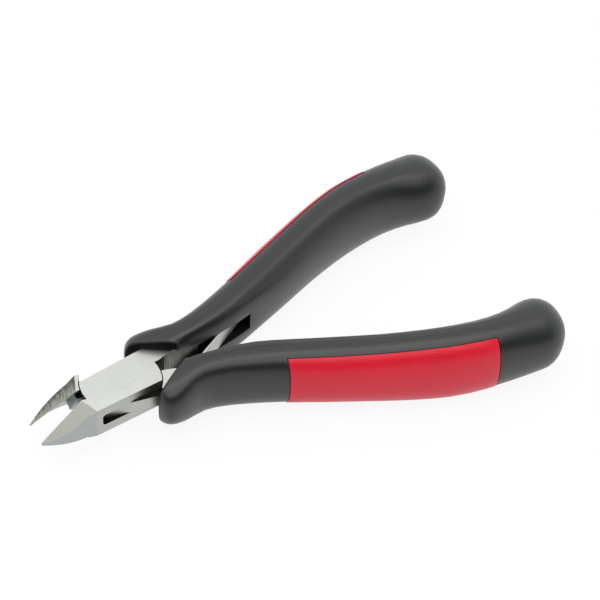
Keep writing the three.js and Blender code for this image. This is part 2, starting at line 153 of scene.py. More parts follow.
def add_node(tree: bpy.types.NodeTree, kind: str, settings: Optional[dict] = None,
             values: Optional[dict] = None, links: Optional[dict] = None) -> bpy.types.Node:
    """Adds one shader node.

    Args:
        tree: Tree that takes the node.
        kind: Blender's name of the node's class.
        settings: Properties of the node itself.
        values: Constants for its input sockets.
        links: Output sockets to join to its input sockets.

    Returns:
        The new node.
    """
    node = tree.nodes.new(kind)
    for name, value in (settings or {}).items():
        setattr(node, name, value)
    for name, value in (values or {}).items():
        node.inputs[name].default_value = value
    for name, socket in (links or {}).items():
        tree.links.new(socket, node.inputs[name])
    return node


def new_tree(name: str) -> tuple[bpy.types.Material, bpy.types.NodeTree]:
    """Makes an empty material with its node tree.

    Args:
        name: Name of the material.

    Returns:
        The material and its cleared tree.
    """
    material = bpy.data.materials.new(name)
    material.use_nodes = True
    material.node_tree.nodes.clear()
    return material, material.node_tree


def per_metre(size_mm: float) -> float:
    """Noise scale whose features are about this size."""
    return 1.0 / (size_mm * MM)


@dataclass(frozen=True)
class GroundSteel:
    """Tool steel finished on a grinding wheel: a satin metal drawn into fine parallel scratches.

    Attributes:
        name: Name of the material.
        bright: Colour of the crests between the scratches.
        dull: Colour in the scratches.
        roughness: Mean roughness.
        scratch_mm: Spacing of the scratches. Real ones are finer, and are drawn coarser so that they show.
        streak: Stretch of the scratches along X, Y and Z, where a small number draws them out.
        depth: Strength of the bump.
        turn: Turn of the scratches about Z, in degrees.
        shade_along: Direction across a face along which painted shade grows, from the bright colour to the
            dull one.
        shade_mm: Distances along that direction at which the painted shade starts and ends.
        shade_share: Share of the range between the two colours that the painted shade moves to each side.
        cloud_mm: Size of the broad clouds that handling leaves.
        cloud_share: Share of these clouds in the pattern.
        steps: Levels of the pattern at which the dull and the bright colour are reached.
        rough_range: Roughness in the scratches and on the crests, as a share of the mean.
        bump_mm: Height of the bump at full strength.
    """

    name: str
    bright: str
    dull: str
    roughness: float
    scratch_mm: float
    streak: tuple[float, float, float]
    depth: float
    turn: float = 0.0
    shade_along: tuple[float, float, float] = (0.0, 0.0, 0.0)
    shade_mm: tuple[float, float] = (0.0, 1.0)
    shade_share: float = 0.0
    cloud_mm: float = 6.0
    cloud_share: float = 0.3
    steps: tuple[float, float] = (0.32, 0.68)
    rough_range: tuple[float, float] = (1.25, 0.8)
    bump_mm: float = 0.02

    def material(self) -> bpy.types.Material:
        """Builds the material: streaks in colour, roughness and height, on a broad cloudiness and a painted
        shade gradient.

        Returns:
            The material.
        """
        material, tree = new_tree(self.name)
        place = add_node(tree, "ShaderNodeTexCoord")
        turned = add_node(tree, "ShaderNodeMapping",
                          values={"Rotation": (0, 0, math.radians(self.turn)), "Scale": self.streak},
                          links={"Vector": place.outputs["Object"]})
        scratches = add_node(tree, "ShaderNodeTexNoise",
                             values={"Scale": per_metre(self.scratch_mm), "Detail": 3.0, "Roughness": 0.6},
                             links={"Vector": turned.outputs["Vector"]})
        clouds = add_node(tree, "ShaderNodeTexNoise",
                          values={"Scale": per_metre(self.cloud_mm), "Detail": 2.0},
                          links={"Vector": place.outputs["Object"]})
        blend = add_node(tree, "ShaderNodeMix", settings={"data_type": "FLOAT"},
                         values={"Factor": self.cloud_share},
                         links={"A": scratches.outputs["Fac"], "B": clouds.outputs["Fac"]})
        # Painted shade: the level falls along shade_along, so the colour goes from bright to dull across the
        # face
        across = add_node(tree, "ShaderNodeVectorMath", settings={"operation": "DOT_PRODUCT"})
        tree.links.new(place.outputs["Object"], across.inputs[0])
        across.inputs[1].default_value = self.shade_along
        shade_ramp = add_node(tree, "ShaderNodeMapRange",
                        values={"From Min": self.shade_mm[0] * MM, "From Max": self.shade_mm[1] * MM,
                                "To Min": self.shade_share, "To Max": -self.shade_share},
                        links={"Value": across.outputs["Value"]})
        level = add_node(tree, "ShaderNodeMath", settings={"operation": "ADD"})
        tree.links.new(blend.outputs["Result"], level.inputs[0])
        tree.links.new(shade_ramp.outputs["Result"], level.inputs[1])
        colour = add_node(tree, "ShaderNodeValToRGB", links={"Fac": level.outputs["Value"]})
        for stop, position, code in zip(colour.color_ramp.elements, self.steps, (self.dull, self.bright)):
            stop.position = position
            stop.color = linear(code)
        low, high = (self.roughness * share for share in self.rough_range)
        rough = add_node(tree, "ShaderNodeMapRange", values={"To Min": low, "To Max": high},
                         links={"Value": blend.outputs["Result"]})
        bump = add_node(tree, "ShaderNodeBump",
                        values={"Strength": self.depth, "Distance": self.bump_mm * MM},
                        links={"Height": scratches.outputs["Fac"]})
        shader = add_node(tree, "ShaderNodeBsdfPrincipled", values={"Metallic": 1.0},
                          links={"Base Color": colour.outputs["Color"], "Roughness": rough.outputs["Result"],
                                 "Normal": bump.outputs["Normal"]})
        add_node(tree, "ShaderNodeOutputMaterial", links={"Surface": shader.outputs["BSDF"]})
        return material


@dataclass(frozen=True)
class Moulded:
    """Moulded plastic or rubber: a soft gloss over a fine grain, with a faint cloudiness from handling.

    Attributes:
        name: Name of the material.
        deep: Darker of its two colours.
        pale: Lighter of its two colours.
        roughness: Mean roughness.
        specular: Specular level, 0.5 for common plastic.
        sheen: Weight of the soft bloom seen at grazing angles.
        sheen_colour: Colour of that bloom.
        grain_mm: Size of the moulded grain. It is drawn coarser than the real one, so that it shows.
        depth: Strength of the grain's bump.
        cloud_mm: Size of the clouds.
        steps: Levels of the clouds at which the two colours are reached.
        rough_range: Roughness in the low and the high spots of the grain, as a share of the mean.
        bump_mm: Height of the bump at full strength.
        sheen_roughness: Spread of the bloom.
    """

    name: str
    deep: str
    pale: str
    roughness: float
    specular: float
    sheen: float
    sheen_colour: str
    grain_mm: float
    depth: float
    cloud_mm: float = 9.0
    steps: tuple[float, float] = (0.3, 0.7)
    rough_range: tuple[float, float] = (0.9, 1.12)
    bump_mm: float = 0.03
    sheen_roughness: float = 0.5

    def material(self) -> bpy.types.Material:
        """Builds the material: two close colours in clouds, and a fine grain in roughness and height.

        Returns:
            The material.
        """
        material, tree = new_tree(self.name)
        place = add_node(tree, "ShaderNodeTexCoord")
        clouds = add_node(tree, "ShaderNodeTexNoise",
                          values={"Scale": per_metre(self.cloud_mm), "Detail": 4.0},
                          links={"Vector": place.outputs["Object"]})
        grain = add_node(tree, "ShaderNodeTexNoise",
                         values={"Scale": per_metre(self.grain_mm), "Detail": 2.0, "Roughness": 0.55},
                         links={"Vector": place.outputs["Object"]})
        colour = add_node(tree, "ShaderNodeValToRGB", links={"Fac": clouds.outputs["Fac"]})
        for stop, position, code in zip(colour.color_ramp.elements, self.steps, (self.deep, self.pale)):
            stop.position = position
            stop.color = linear(code)
        low, high = (self.roughness * share for share in self.rough_range)
        rough = add_node(tree, "ShaderNodeMapRange", values={"To Min": low, "To Max": high},
                         links={"Value": grain.outputs["Fac"]})
        bump = add_node(tree, "ShaderNodeBump",
                        values={"Strength": self.depth, "Distance": self.bump_mm * MM},
                        links={"Height": grain.outputs["Fac"]})
        shader = add_node(tree, "ShaderNodeBsdfPrincipled",
                          values={"Specular IOR Level": self.specular, "Sheen Weight": self.sheen,
                                  "Sheen Roughness": self.sheen_roughness,
                                  "Sheen Tint": linear(self.sheen_colour)},
                          links={"Base Color": colour.outputs["Color"], "Roughness": rough.outputs["Result"],
                                 "Normal": bump.outputs["Normal"]})
        add_node(tree, "ShaderNodeOutputMaterial", links={"Surface": shader.outputs["BSDF"]})
        return material


# Surface-ground faces of the head: bright, even satin with lengthwise scratches
HEAD_STEEL = GroundSteel("tool_steel_surface_ground", "#d2d4cf", "#c7c9c4", roughness=0.36, scratch_mm=0.16,
                         streak=(0.08, 1.0, 1.0), depth=0.08)
# Upright sides of the levers: an even grey with lengthwise scratches, darker than the head's faces as
# painted shade
SIDE_STEEL_SHADED = GroundSteel("tool_steel_side_shaded", "#bec0bb", "#b2b4af", roughness=0.4, scratch_mm=0.2,
                         streak=(0.08, 1.0, 1.0), depth=0.08)
# Wheel-ground facet of the box lever's jaw: a warmer satin with scratches square to the cutting edge
FACET_STEEL = GroundSteel("tool_steel_wheel_ground", "#b3b4ab", "#a5a69d", roughness=0.42, scratch_mm=0.22,
                          streak=(1.0, 0.08, 1.0), depth=0.12)
# Facet of the other jaw: darker than the box jaw's facet, with painted shade from bright at the cutting edge
# to dull outside, and plain scratches
FACET_STEEL_PAINTED_SHADE = GroundSteel("tool_steel_facet_painted_shade", "#a5a79f", "#5a5c57", roughness=0.46, scratch_mm=0.3,
                           streak=(0.5, 0.08, 1.0), depth=0.25, turn=24.0,
                           shade_along=(0.134, 0.991, 0.0), shade_mm=(0.2, 3.2), shade_share=0.16)
# Tumbled walls of the jaws and the throat: an even blue-grey without direction
WALL_STEEL = GroundSteel("tool_steel_tumbled", "#b6bbb9", "#aab0af", roughness=0.44, scratch_mm=0.3,
                         streak=(1.0, 1.0, 1.0), depth=0.06)
# Rough-ground inner faces of the tangs: upright scratches over a dark grey that is partly painted shade of
# these inner faces
TANG_STEEL_SHADED = GroundSteel("tool_steel_rough_ground_shaded", "#9b9992", "#5c5a55", roughness=0.48, scratch_mm=0.3,
                         streak=(1.0, 1.0, 0.05), depth=0.3)
# Faces inside the joint, in the throat and at both ends of the tangs' inner faces: near black, painted shade
PAINTED_SHADE_STEEL = GroundSteel("tool_steel_painted_shade", "#2a2926", "#181715", roughness=0.5, scratch_mm=0.5,
                          streak=(1.0, 1.0, 1.0), depth=0.05)
# Cold-rolled spring strip: bright, with faint lengthwise rolling lines
STRIP_STEEL = GroundSteel("spring_steel_cold_rolled", "#d6d7d2", "#c6c7c2", roughness=0.5, scratch_mm=0.2,
                          streak=(0.08, 0.08, 1.0), depth=0.06)
# Soft thermoplastic rubber of the grip skins: near black, with a soft gloss over a fine grain
BLACK_RUBBER = Moulded("thermoplastic_rubber_moulded", "#0c0e0e", "#111413", roughness=0.36, specular=0.62,
                       sheen=0.2, sheen_colour="#d0d6d8", grain_mm=0.35, depth=0.12)
# The same rubber on the rolled lip of a grip, with less gloss and bloom: half painted shade between the lit
# skin and the black of the mouth
LIP_RUBBER_HALF_SHADE = Moulded("thermoplastic_rubber_half_shade", "#0d0e0e", "#121313", roughness=0.5, specular=0.32,
                     sheen=0.08, sheen_colour="#d0d6d8", grain_mm=0.35, depth=0.12)
# The same rubber in the mouth and the recess of a grip, without gloss or bloom: dull black painted shade
RUBBER_PAINTED_SHADE = Moulded("thermoplastic_rubber_painted_shade", "#0d0d0d", "#111111", roughness=0.6, specular=0.12,
                     sheen=0.0, sheen_colour="#d0d6d8", grain_mm=0.35, depth=0.12)
# Glass-filled nylon of the grip cores: full red, satin
RED_NYLON = Moulded("nylon_moulded_red", "#cd0a26", "#d5102c", roughness=0.36, specular=0.4, sheen=0.4,
                    sheen_colour="#ff8fae", grain_mm=0.3, depth=0.08)


def deselect_all() -> None:
    """Leaves edit mode and clears the selection."""
    if bpy.context.object and bpy.context.object.mode != "OBJECT":
        bpy.ops.object.mode_set(mode="OBJECT")
    bpy.ops.object.select_all(action="DESELECT")


def make_active(piece: bpy.types.Object) -> None:
    """Selects one object alone and makes it the active one.

    Args:
        piece: Object to work on.
    """
    deselect_all()
    piece.select_set(True)
    bpy.context.view_layer.objects.active = piece


def copy_of_node(node: str, name: str) -> bpy.types.Object:
    """Copies a CAD node as a new piece with its corners merged and its flat faces made whole.

    Args:
        node: Name of the CAD node.
        name: Name of the new piece.

    Returns:
        The new object, at the origin.
    """
    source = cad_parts[node]
    piece = bpy.data.objects.new(name, source.data.copy())
    bpy.context.scene.collection.objects.link(piece)
    piece.data.materials.clear()
    make_active(piece)
    bpy.ops.object.mode_set(mode="EDIT")
    bpy.ops.mesh.select_all(action="SELECT")
    bpy.ops.mesh.customdata_custom_splitnormals_clear()
    bpy.ops.mesh.remove_doubles(threshold=MERGE_MM * MM)
    bpy.ops.mesh.dissolve_limited(angle_limit=math.radians(FLAT_DEG))
    bpy.ops.object.mode_set(mode="OBJECT")
    return piece


def face_angles(piece: bpy.types.Object) -> dict[tuple[int, int], float]:
    """Measures the angle between the two faces at each edge of a piece.

    Args:
        piece: Object to measure.

    Returns:
        The angle in degrees for each edge, named by its two corners.
    """
    normals: dict[tuple[int, int], list[Vector]] = {}
    for face in piece.data.polygons:
        for key in face.edge_keys:
            normals.setdefault(key, []).append(face.normal)
    pairs = {key: pair for key, pair in normals.items() if len(pair) == 2}
    return {key: math.degrees(one.angle(other, 0.0)) for key, (one, other) in pairs.items()}


def ease_edges(piece: bpy.types.Object, width_mm: float, angle_deg: float, segments: int = 2,
               chosen: Callable[[Vector], bool] = lambda place: True) -> None:
    """Rounds the sharp edges of a piece and shades it smooth up to that angle.

    Args:
        piece: Object to finish.
        width_mm: Width of the rounding.
        angle_deg: Least angle between faces that counts as an edge.
        segments: Steps in the rounding.
        chosen: Says for the middle of an edge whether it is rounded.
    """
    make_active(piece)
    angles = face_angles(piece)
    points = piece.data.vertices
    weights = piece.data.attributes.new("bevel_weight_edge", "FLOAT", "EDGE")
    for edge in piece.data.edges:
        middle = (points[edge.vertices[0]].co + points[edge.vertices[1]].co) / 2
        sharp = angles.get(edge.key, 0.0) > angle_deg
        weights.data[edge.index].value = 1.0 if sharp and chosen(middle) else 0.0
    bevel = piece.modifiers.new("eased_edges", "BEVEL")
    bevel.width = width_mm * MM
    bevel.segments = segments
    bevel.limit_method = "WEIGHT"
    bevel.miter_outer = "MITER_ARC"
    bpy.ops.object.modifier_apply(modifier=bevel.name)
    left_over = piece.data.attributes.get("bevel_weight_edge")
    if left_over:
        piece.data.attributes.remove(left_over)
    bpy.ops.object.shade_smooth_by_angle(angle=math.radians(angle_deg))


def paint(piece: bpy.types.Object, materials: list[bpy.types.Material],
          choose: Callable[[bpy.types.MeshPolygon], int] = lambda face: 0) -> None:
    """Gives a piece its materials.

    Args:
        piece: Object to dress.
        materials: Its materials.
        choose: Index of the material for a face.
    """
    piece.data.materials.clear()
    for material in materials:
        piece.data.materials.append(material)
    for face in piece.data.polygons:
        face.material_index = choose(face)


def settle(piece: bpy.types.Object, body: str, slot: str, *nodes: str) -> None:
    """Hands a finished piece to the frame.

    Args:
        piece: Object to hand over.
        body: Body that carries it.
        slot: Not used.
        nodes: CAD nodes that it stands for.
    """
    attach(piece, body)
    if nodes:
        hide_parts(*nodes)
    log.info("%s rides on %s", piece.name, body)


class Ground(Enum):
    """Places of a lever's finishes in its list of materials."""

    HEAD = 0
    FACET = 1
    WALL = 2
    TANG = 3
    # Near-black steel that paints the shade inside the joint, in the throat and on the tangs
    PAINTED_SHADE = 4
    SIDE = 5


@dataclass
class Lever:
    """A steel lever with its jaw, its share of the box joint and its tang.

    Attributes:
        side: Which of the two levers it is.
        finishes: Materials in the order of Ground.
        edge_mm: Width of the eased edges.
        edge_deg: Least angle that counts as an edge.
        pin_zone_mm: Distance from the pivot within which edges stay sharp, so that the pin hardly shows.
        jaw_reach_mm: Distance from the pivot where the jaw starts.
        joint_reach_mm: Radius of the joint's inner faces.
        joint_half_mm: Half height of the joint's slot.
        unshaded_reach_mm: Distances between which the tang's inner face is scratched steel without painted
            shade.
        side_least: Least sideways part of the normal of a side of the lever.
        facet_least: Least upward part of the normal of a jaw's facet.
        facet_front: Largest forward part of that normal.
        shoulder_least: Least forward part of the normal of a shoulder behind the jaw.
        shoulder_level: Largest upward or downward part of that normal.
        inner_least: Least inward part of the normal of the tang's inner face.
    """

    side: Side
    finishes: list[bpy.types.Material]
    edge_mm: float = 0.1
    edge_deg: float = 14.0
    pin_zone_mm: float = 3.2
    jaw_reach_mm: float = 9.4
    joint_reach_mm: float = 9.4
    joint_half_mm: float = 1.7
    unshaded_reach_mm: tuple[float, float] = (11.8, 22.0)
    side_least: float = 0.9
    facet_least: float = 0.35
    facet_front: float = 0.65
    shoulder_least: float = 0.3
    shoulder_level: float = 0.5
    inner_least: float = 0.5

    def finish_of(self, face: bpy.types.MeshPolygon) -> int:
        """Picks the finish of a face by its place and the way it looks.

        Args:
            face: Face of the lever.

        Returns:
            Index of the material.
        """
        place, normal = own_frame(self.side, face.center) / MM, own_frame(self.side, face.normal)
        lift = place.z - MID_HEIGHT_MM
        near_pivot = math.hypot(place.x, place.y) < self.joint_reach_mm
        # Faces inside the joint's slot: painted shade
        if abs(lift) < self.joint_half_mm and near_pivot and abs(normal.y) < self.side_least:
            return Ground.PAINTED_SHADE.value
        if place.x < -self.jaw_reach_mm:
            ground = normal.z > self.facet_least and normal.x > -self.facet_front
            return Ground.FACET.value if ground else Ground.WALL.value
        # Shoulders in the throat behind the jaw: painted shade
        if place.x < 0 and normal.x < -self.shoulder_least and abs(normal.z) < self.shoulder_level:
            return Ground.PAINTED_SHADE.value
        # Tang's inner face: scratched steel in its middle, painted shade at both ends
        if place.x > 0 and normal.y < -self.inner_least:
            unshaded = self.unshaded_reach_mm[0] < place.x < self.unshaded_reach_mm[1]
            return Ground.TANG.value if unshaded else Ground.PAINTED_SHADE.value
        # Upright sides take the darker steel of painted shade, the rest takes the head's steel
        return Ground.SIDE.value if abs(normal.y) > self.side_least else Ground.HEAD.value

    def build(self) -> bpy.types.Object:
        """Models the lever over its CAD node and dresses it.

        Returns:
            The finished lever.
        """
        node = f"{self.side.word}_lever"
        piece = copy_of_node(node, f"{self.side.word}_lever_ground")
        make_active(piece)
        bpy.ops.object.mode_set(mode="EDIT")
        along = (row_frame(self.side, 1.0, 0.0) - row_frame(self.side, 0.0, 0.0)).normalized()
        for reach in self.unshaded_reach_mm:
            bpy.ops.mesh.select_all(action="SELECT")
            bpy.ops.mesh.bisect(plane_co=row_frame(self.side, reach, 0.0), plane_no=along,
                                threshold=CUT_SNAP)
        bpy.ops.object.mode_set(mode="OBJECT")
        ease_edges(piece, self.edge_mm, self.edge_deg, 2,
                   lambda place: math.hypot(place.x, place.y) > self.pin_zone_mm * MM)
        paint(piece, self.finishes, self.finish_of)
        settle(piece, self.side.body, "ground_steel", node)
        return piece


@dataclass
class SlotCorner:
    """Concave rounding in a corner at the front of the box lever's slot, flush with the side of the head.

    Attributes:
        shade_steel: Material inside the slot, near black as painted shade.
        side_shaded: Material of the side of the head, darker than its top as painted shade.
        above: True for the upper corner, False for the lower one.
        round_mm: Radius of the rounding.
        wall_mm: Radius of the slot's end wall round the pivot.
        half_mm: Half height of the slot.
        place_deg: Direction from the pivot to the corner in the lever's frame.
        length_mm: Length of the rounded bar along the wall.
        sink_mm: Depth of the bar in the steel.
        side_point_mm: A point in the side of the head, in the lever's frame.
        side_facing: Direction that this side faces.
        sides: Sides of the cylinder that hollows the bar out.
        flush_least: Least cosine to that direction of a face in the side of the head.
    """

    shade_steel: bpy.types.Material
    side_shaded: bpy.types.Material
    above: bool
    round_mm: float = 0.85
    wall_mm: float = 9.0
    half_mm: float = 1.6
    place_deg: float = 207.0
    length_mm: float = 3.0
    sink_mm: float = 0.1
    side_point_mm: tuple[float, float] = (-9.0, -4.595)
    side_facing: tuple[float, float] = (-0.0278, -0.9996)
    sides: int = 48
    flush_least: float = 0.99

    def spot(self, reach_mm: float, lift_mm: float) -> Vector:
        """Finds a point in the corner's direction from the pivot.

        Args:
            reach_mm: Distance from the pivot.
            lift_mm: Height from the middle of the head, up for the upper corner and down for the lower one.

        Returns:
            The point in metres.
        """
        angle = math.radians(self.place_deg)
        up = 1.0 if self.above else -1.0
        return row_frame(Side.BOX, reach_mm * math.cos(angle), reach_mm * math.sin(angle), up * lift_mm)

    def build(self) -> bpy.types.Object:
        """Models the corner as a bar that a cylinder hollows out and the side of the head trims.

        Returns:
            The finished corner.
        """
        turn = math.radians(self.place_deg) + math.radians(HALF_OPENING_DEG * Side.BOX.sign)
        size = self.round_mm + self.sink_mm
        shift = (self.sink_mm - self.round_mm) / 2
        deselect_all()
        bpy.ops.mesh.primitive_cylinder_add(
            vertices=self.sides, radius=self.round_mm * MM, depth=2 * self.length_mm * MM,
            rotation=(math.pi / 2, 0.0, turn),
            location=self.spot(self.wall_mm - self.round_mm, self.half_mm - self.round_mm))
        cutter = bpy.context.object
        deselect_all()
        bpy.ops.mesh.primitive_cube_add(size=1.0, rotation=(0.0, 0.0, turn),
                                        location=self.spot(self.wall_mm + shift, self.half_mm + shift))
        piece = bpy.context.object
        piece.name = f"box_slot_corner_{'upper' if self.above else 'lower'}"
        piece.scale = (size * MM, self.length_mm * MM, size * MM)
        bpy.ops.object.transform_apply(location=True, rotation=True, scale=True)
        hollow = piece.modifiers.new("hollow", "BOOLEAN")
        hollow.operation = "DIFFERENCE"
        hollow.object = cutter
        bpy.ops.object.modifier_apply(modifier=hollow.name)
        bpy.data.objects.remove(cutter)
        facing = (row_frame(Side.BOX, *self.side_facing) - row_frame(Side.BOX, 0.0, 0.0)).normalized()
        bpy.ops.object.mode_set(mode="EDIT")
        bpy.ops.mesh.select_all(action="SELECT")
        bpy.ops.mesh.bisect(plane_co=row_frame(Side.BOX, *self.side_point_mm), plane_no=facing,
                            use_fill=True, clear_outer=True, threshold=CUT_SNAP)
        bpy.ops.object.mode_set(mode="OBJECT")
        bpy.ops.object.shade_smooth_by_angle(angle=math.radians(ROUND_DEG))
        # Faces inside the slot take the painted shade; faces flush with the side of the head take the side's
        # steel
        paint(piece, [self.shade_steel, self.side_shaded], lambda face: int(face.normal.dot(facing) > self.flush_least))
        settle(piece, Side.BOX.body, "ground_steel")
        return piece


class Soft(Enum):
    """Places of a skin's finishes in its list of materials."""

    SKIN = 0
    # The lip's rubber paints half shade; the mouth's rubber paints full black shade
    LIP = 1
    CUT = 2


@dataclass
class Grip:
    """A soft skin over a hard core that shows as the palm inlay.

    Attributes:
        side: Lever that carries the grip.
        rubbers: Materials of the skin in the order of Soft.
        nylon: Material of the core.
        skin_edge_mm: Rounding of the skin's edges.
        inlay_edge_mm: Rounding of the inlay's edges.
        edge_deg: Least angle that counts as an edge.
        lip_mm: Radius of the rounded lip at the mouth.
        lip_steps: Steps in that rounding.
        lip_merge_mm: Distance under which the corners of the cut mouth are one.
        inner_mm: Distance from the centre plane that the lip keeps, so that closed grips don't meet.
        mouth_facing: Direction in the lever's frame that the slanted mouth faces.
        mouth_point_mm: A point of the mouth's plane in that frame.
        lip_least: Least cosine to that direction at which the skin goes over into the lip's half painted
            shade.
        mouth_least: Least cosine to that direction at which the lip goes over into the mouth's black painted
            shade.
        recess_half_mm: Half height below which a level face belongs to the recess.
        recess_end_mm: Distance from the pivot beyond which a face square to the lever ends the recess.
        level_least: Least upward or downward part of the normal of a level face.
        square_least: Least forward part of the normal of a face square to the lever.
        seam_mm: Radius of the fine seam that the mould leaves along the grip.
        seam_sides: Sides of the seam.
        seam_step_mm: Distance between the points of the seam.
        seam_smooth_deg: Largest angle between faces of the seam that look smooth.
        seam_drop_mm: Height from which the seam's course is dropped onto the skin.
        seam_line_mm: Course of the seam in the lever's frame.
    """

    side: Side
    rubbers: list[bpy.types.Material]
    nylon: bpy.types.Material
    skin_edge_mm: float = 0.35
    inlay_edge_mm: float = 0.2
    edge_deg: float = 38.0
    lip_mm: float = 0.7
    lip_steps: int = 5
    lip_merge_mm: float = 0.25
    inner_mm: float = 0.17
    mouth_facing: tuple[float, float, float] = (-0.635, -0.772, 0.0)
    mouth_point_mm: tuple[float, float] = (14.6, 0.25)
    lip_least: float = 0.3
    mouth_least: float = 0.85
    recess_half_mm: float = 4.5
    recess_end_mm: float = 30.0
    level_least: float = 0.7
    square_least: float = 0.9
    seam_mm: float = 0.05
    seam_sides: int = 6
    seam_step_mm: float = 2.0
    seam_smooth_deg: float = 70.0
    seam_drop_mm: float = 30.0
    seam_line_mm: tuple[tuple[float, float], ...] = (
        (16.0, 2.0), (20.0, 2.3), (25.0, 2.9), (31.0, 3.7), (39.0, 5.7), (48.0, 8.1), (58.0, 11.2),
        (69.0, 13.2), (79.0, 14.0), (86.0, 13.6), (92.0, 12.6))

    def finish_of(self, face: bpy.types.MeshPolygon) -> int:
        """Tells the outside of the skin from its lip, which takes half painted shade, and from its mouth and
        recess, which take black painted shade.

        Args:
            face: Face of the skin.

        Returns:
            Index of the material.
        """
        place, normal = own_frame(self.side, face.center) / MM, own_frame(self.side, face.normal)
        lift = abs(place.z - MID_HEIGHT_MM)
        facing = Vector(self.mouth_facing)
        from_mouth = facing.dot(place - Vector((*self.mouth_point_mm, place.z)))
        leaning = facing.dot(normal) if abs(from_mouth) < self.lip_mm else 0.0
        level = abs(normal.z) > self.level_least
        at_end = place.x > self.recess_end_mm and normal.x < -self.square_least
        in_recess = lift < self.recess_half_mm and (level or at_end)
        # Mouth and recess take the black painted shade, the lip the half painted shade
        if leaning > self.mouth_least or in_recess:
            return Soft.CUT.value
        return Soft.LIP.value if leaning > self.lip_least else Soft.SKIN.value

    def round_mouth(self, piece: bpy.types.Object) -> None:
        """Cuts the skin back by the radius of its lip and insets the cut in steps along a quarter circle.

        Args:
            piece: Copy of the skin's node.
        """
        away = row_frame(self.side, *self.mouth_facing[:2]) - row_frame(self.side, 0.0, 0.0)
        facing = away.normalized()
        make_active(piece)
        bpy.ops.object.mode_set(mode="EDIT")
        bpy.ops.mesh.select_all(action="SELECT")
        bpy.ops.mesh.bisect(plane_co=row_frame(self.side, *self.mouth_point_mm) - facing * self.lip_mm * MM,
                            plane_no=facing, use_fill=True, clear_outer=True, threshold=CUT_SNAP)
        bpy.ops.mesh.remove_doubles(threshold=self.lip_merge_mm * MM)
        bpy.ops.mesh.quads_convert_to_tris()
        turns = [math.pi / 2 * k / self.lip_steps for k in range(self.lip_steps + 1)]
        for start, end in zip(turns, turns[1:]):
            bpy.ops.mesh.inset(thickness=self.lip_mm * MM * (math.cos(start) - math.cos(end)),
                               depth=self.lip_mm * MM * (math.sin(end) - math.sin(start)),
                               use_even_offset=False)
        inward = row_frame(self.side, 0.0, 0.0) - row_frame(self.side, 0.0, 1.0)
        bpy.ops.mesh.select_all(action="SELECT")
        bpy.ops.mesh.bisect(plane_co=row_frame(self.side, 0.0, self.inner_mm), plane_no=inward.normalized(),
                            use_fill=True, clear_outer=True, threshold=CUT_SNAP)
        bpy.ops.object.mode_set(mode="OBJECT")

    def build_skin(self) -> bpy.types.Object:
        """Models the skin over its CAD node, with rounded lips at the mouth and round the inlay.

        Returns:
            The finished skin.
        """
        node = f"{self.side.word}_grip_skin"
        piece = copy_of_node(node, f"{self.side.word}_grip_rubber")
        self.round_mouth(piece)
        ease_edges(piece, self.skin_edge_mm, self.edge_deg, 3)
        paint(piece, self.rubbers, self.finish_of)
        settle(piece, self.side.body, "black_rubber", node)
        return piece

    def build_inlay(self) -> bpy.types.Object:
        """Models the core with its inlay over its CAD node.

        Returns:
            The finished core.
        """
        node = f"{self.side.word}_grip_core"
        piece = copy_of_node(node, f"{self.side.word}_grip_inlay")
        ease_edges(piece, self.inlay_edge_mm, self.edge_deg, 2)
        paint(piece, [self.nylon])
        settle(piece, self.side.body, "red_plastic", node)
        return piece

    def seam_points(self, skin: bpy.types.Object, above: bool) -> list[Vector]:
        """Drops the seam's course onto the skin.

        Args:
            skin: Finished skin.
            above: True for the seam on top, False for the one below.

        Returns:
            Points on the skin, from the mouth to the end.
        """
        points = []
        towards = Vector((0.0, 0.0, -1.0 if above else 1.0))
        for (x0, y0), (x1, y1) in zip(self.seam_line_mm, self.seam_line_mm[1:]):
            steps = max(1, round((x1 - x0) / self.seam_step_mm))
            for k in range(steps):
                share = k / steps
                level = row_frame(self.side, x0 + (x1 - x0) * share, y0 + (y1 - y0) * share)
                hit, place, _, _ = skin.ray_cast(level - towards * self.seam_drop_mm * MM, towards)
                if hit:
                    points.append(place)
        return points

    def build_seam(self, skin: bpy.types.Object, above: bool) -> bpy.types.Object:
        """Lays one fine seam along the skin by extruding a small ring from point to point.

        Args:
            skin: Finished skin.
            above: True for the seam on top, False for the one below.

        Returns:
            The seam.
        """
        points = self.seam_points(skin, above)
        deselect_all()
        bpy.ops.mesh.primitive_circle_add(vertices=self.seam_sides, radius=self.seam_mm * MM,
                                          fill_type="NGON", location=points[0],
                                          rotation=(0.0, math.pi / 2, 0.0))
        piece = bpy.context.object
        piece.name = f"{self.side.word}_grip_seam_{'upper' if above else 'lower'}"
        bpy.ops.object.transform_apply(location=True, rotation=True, scale=True)
        bpy.ops.object.mode_set(mode="EDIT")
        bpy.ops.mesh.select_all(action="SELECT")
        for here, there in zip(points, points[1:]):
            bpy.ops.mesh.extrude_region_move(TRANSFORM_OT_translate={"value": there - here})
        bpy.ops.mesh.select_all(action="SELECT")
        bpy.ops.mesh.normals_make_consistent(inside=False)
        bpy.ops.object.mode_set(mode="OBJECT")
        bpy.ops.object.shade_smooth_by_angle(angle=math.radians(self.seam_smooth_deg))
        paint(piece, [self.rubbers[Soft.SKIN.value]])
        settle(piece, self.side.body, "black_rubber")
        return piece

    def build(self) -> None:
        """Models the inlay, the skin and its two seams."""
        self.build_inlay()
        skin = self.build_skin()
        for above in (True, False):
            self.build_seam(skin, above)


